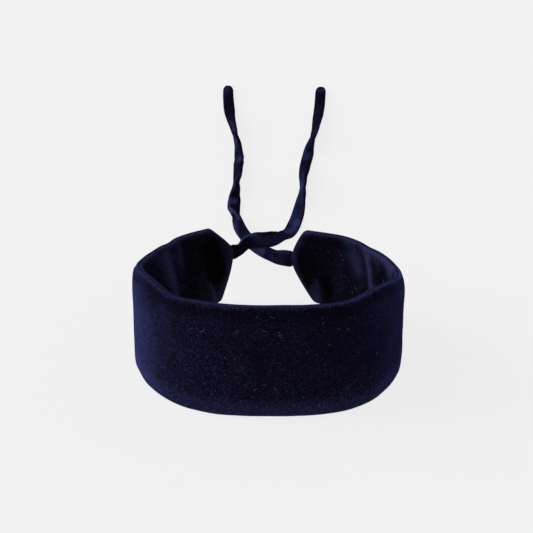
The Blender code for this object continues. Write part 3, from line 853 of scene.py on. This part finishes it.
def band_layer(name, layer, strokes, material, slot_name, node):
    """One layer, -1 for the outer and 1 for the inner: the face that shows and the sewn
    side, which share their border. A point is the plan's point plus inward * (half the
    band's thickness + layer * what it stands off the seam + folds + lean). The painted
    highlight on the rim, the painted shade below it and the painted sheen on border, hem
    and top are each a bell of the distance from their edge, and the stitches' dents are
    painted darker."""
    along, up = np.meshgrid(crowded(STATIONS, CROWDED_ROUND),
                            (1 + crowded(ROWS, CROWDED_UP)) / 2, indexing="ij")
    at = on_band(along, up)
    light, raised = stroke_sum(at["arc"] * 1000, at["height"] * 1000, strokes)
    inside_edges = quarter_round(nearest_edge(at), FLAT_AT_EDGE)
    shown = fullness(at) + (raised + waves(at) - PUCKER_DEPTH * puckers(at)) * inside_edges
    lean = UPPER_LEAN * (1 - np.clip(at["to_upper"] / LEAN_HEIGHT, 0, 1)) ** 2
    place, forward = on_plan(at["arc"])
    inward = np.stack([-forward[..., 1], forward[..., 0]], axis=-1)

    def standing(off_seam):
        offset = BAND_THICKNESS / 2 + layer * (LAYER_GAP / 2 + off_seam) + folds(along, up) + lean
        return np.concatenate([place + inward * offset[..., None],
                               at["height"][..., None]], axis=-1)

    # The sewn side keeps the border's numbers and gets new ones inside it.
    front = np.arange(STATIONS * ROWS).reshape(STATIONS, ROWS)
    inner = (STATIONS - 2, ROWS - 2)
    rear = front.copy()
    rear[1:-1, 1:-1] = STATIONS * ROWS + np.arange(inner[0] * inner[1]).reshape(inner)
    points = np.vstack([standing(shown).reshape(-1, 3),
                        standing(0 * shown)[1:-1, 1:-1].reshape(-1, 3)])
    faces = np.vstack([grid_faces(front), grid_faces(rear)[:, ::-1]])

    lights = LAYER_PAINTED_SHEEN[layer]
    # painted light and shade: the strokes, a painted highlight on the rim, painted shade below it
    # and in the stitches' dents, and painted sheen on the ends, the top and the hem
    lay = (light + RIM_PAINTED_HIGHLIGHT * np.exp(-(at["to_upper"] / RIM_REACH) ** 2)
           + SHADE_LIGHT * np.exp(-((at["to_upper"] - SHADE_PLACE) / SHADE_REACH) ** 2)
           - puckers(at)
           + lights["border"] * np.exp(-(at["to_end"] / lights["border_reach"]) ** 2)
           + lights["top"] * np.exp(-(at["to_upper"] / TOP_REACH) ** 2)
           + lights["hem"] * np.exp(-(at["to_lower"] / HEM_REACH) ** 4))
    lay = np.concatenate([lay.ravel(), np.zeros(inner[0] * inner[1])])
    flat = np.stack([at["arc"], at["height"], np.full(at["arc"].shape, float(layer))], axis=-1)
    flat = np.vstack([flat.reshape(-1, 3), flat[1:-1, 1:-1].reshape(-1, 3)])
    piece = cloth_piece(name, points, faces, material, slot_name, (node,), lay=lay, cloth=flat)
    return piece


band_layer("velvet_panel", -1, STROKES_OUTSIDE, velvet_outside, "velvet_outside", "outer_panel")
band_layer("velvet_facing", 1, STROKES_INSIDE, velvet_inside, "velvet_inside", "inner_facing")

# %% [markdown]
# ## Lint
#
# Dark velvet holds lint. Each fibre is a short bent tube, thinner than a hair at its
# ends, that lies on the pile. Some lie where they are seen on the real band, and the
# rest are strewn by seeded chance.

# %% Where the lint lies
LINT_SEEN = (  # round and height in mm
    (-8, 47), (-2, 47), (1, 40), (18, 46), (-16, 40), (25, 40), (54, 27), (34, 27), (12, 31),
    (-21, 20), (-25, 12), (-5, 16), (7, 6), (-46, 26), (-10, 10), (29, 39), (30, 44), (-43, 2.5),
)


def strewn(count, low, high, chance):
    """Places between two corners, round and height in mm."""
    return np.array(low) + (np.array(high) - low) * chance.random((count, 2))


print(len(LINT_SEEN), "fibres lie where they are seen")

# %% Lint fibres
LINT_RADIUS = 0.00006
LINT_SHORTEST, LINT_LONGER = 0.0008, 0.0020     # a few are as long as both together
LINT_BEND = 1.2             # its ends bend aside by up to a quarter of this, in lengths
LINT_LIFT = 0.00012         # its middle lies this far above the full face
LINT_SIDES, LINT_STEPS = 5, 9


def lint(name, places, layer, chance):
    """Fibres on one face: length * t * way + bend * length * t^2 * across, for t from
    -1/2 to 1/2, with a radius that follows sqrt(1 - 4 t^2)."""
    count = len(places)
    length = LINT_SHORTEST + LINT_LONGER * chance.random(count) ** 2
    way = chance.random(count) * np.pi
    bend = 2 * LINT_BEND * chance.random(count) - LINT_BEND
    t = np.linspace(-0.5, 0.5, LINT_STEPS)
    run, aside = length[:, None] * t, (bend * length)[:, None] * t ** 2
    way_round = places[:, :1] / 1000 + run * np.cos(way)[:, None] - aside * np.sin(way)[:, None]
    height = places[:, 1:] / 1000 + run * np.sin(way)[:, None] + aside * np.cos(way)[:, None]
    place, forward = on_plan(way_round)
    inward = np.stack([-forward[..., 1], forward[..., 0]], axis=-1)
    along = way_round / (BAND_LENGTH / 2)
    top = BAND_HEIGHT * smooth_table(along, *two_sided(UPPER_EDGE))
    off = (BAND_THICKNESS / 2 + layer * (LAYER_GAP / 2 + ROLL + FILLING + LINT_LIFT)
           + folds(along, np.clip(height / top, 0, 1)))
    middle = np.concatenate([place + inward * off[..., None], height[..., None]], axis=-1)
    ahead = np.gradient(middle, axis=1)
    ahead /= np.linalg.norm(ahead, axis=-1, keepdims=True)
    out = np.concatenate([inward * layer, np.zeros(inward.shape[:2] + (1,))], axis=-1)
    aslant = np.cross(ahead, out)
    angle = np.linspace(0, 2 * np.pi, LINT_SIDES, endpoint=False)[:, None]
    radius = LINT_RADIUS * np.sqrt(1 - 4 * t ** 2)[:, None, None]
    points = middle[:, :, None] + radius * (np.cos(angle) * out[:, :, None]
                                            + np.sin(angle) * aslant[:, :, None])
    numbers = np.arange(points[..., 0].size).reshape(points.shape[:3])
    numbers = np.concatenate([numbers, numbers[..., :1]], axis=-1)
    faces = np.stack([numbers[:, :-1, :-1], numbers[:, 1:, :-1],
                      numbers[:, 1:, 1:], numbers[:, :-1, 1:]], axis=-1).reshape(-1, 4)
    return cloth_piece(name, points.reshape(-1, 3), faces, pale_lint, None)


pale_lint = new_material("pale_cotton_lint", {
    "Base Color": linear("#5c617c"), "Roughness": 0.9, "Specular IOR Level": 0.1})
chance = np.random.default_rng(7)
lint("lint_outside", np.vstack([LINT_SEEN, strewn(40, (-75, 4), (75, 44), chance)]), -1, chance)
lint("lint_inside", np.vstack([strewn(26, (104, 6), (148, 32), chance),
                               strewn(8, (-144, 8), (-112, 32), chance)]), 1, chance)

# %% [markdown]
# ## Floor and light
#
# The choker stands on a plain pale sweep. A bright even sky fills the studio, and one
# large soft lamp on the left lights the left side of the band and the inside of its
# right side. The floor glows a little by itself, as a lit table does, so shadows stay faint.

# %% Floor, sky and lamp
FLOOR_HALF = 6.0
FLOOR_GLOW, SKY_LIGHT = 0.80, 0.45
LAMP_LIGHT, LAMP_WIDTH = 2.4, 40        # the wider the lamp in degrees, the softer its shadow
LAMP_WAY = (0.86, -0.20, -0.47)         # the way its light goes

floor_material = new_material("matt_paper_floor", {
    "Base Color": linear("#5a5a5a"), "Roughness": 1.0, "Specular IOR Level": 0.0,
    "Emission Color": linear("#ffffff"), "Emission Strength": FLOOR_GLOW})
floor_mesh = bpy.data.meshes.new("floor")
floor_mesh.from_pydata([(x * FLOOR_HALF, y * FLOOR_HALF, 0)
                        for x, y in ((-1, -1), (1, -1), (1, 1), (-1, 1))], [], [(0, 1, 2, 3)])
floor_mesh.materials.append(floor_material)
floor = new_object("floor", floor_mesh)

world = bpy.data.worlds.new("studio")
world.use_nodes = True
sky = world.node_tree.nodes["Background"]
sky.inputs["Color"].default_value = (1.0, 1.0, 1.0, 1.0)
sky.inputs["Strength"].default_value = SKY_LIGHT
bpy.context.scene.world = world

lamp_data = bpy.data.lights.new("soft_lamp", "SUN")
lamp_data.energy, lamp_data.angle = LAMP_LIGHT, math.radians(LAMP_WIDTH)
lamp = new_object("soft_lamp", lamp_data)
lamp.rotation_euler = Vector(LAMP_WAY).to_track_quat("-Z", "Y").to_euler()
bpy.context.scene.view_settings.view_transform = "Standard"
print("floor, sky and one lamp")
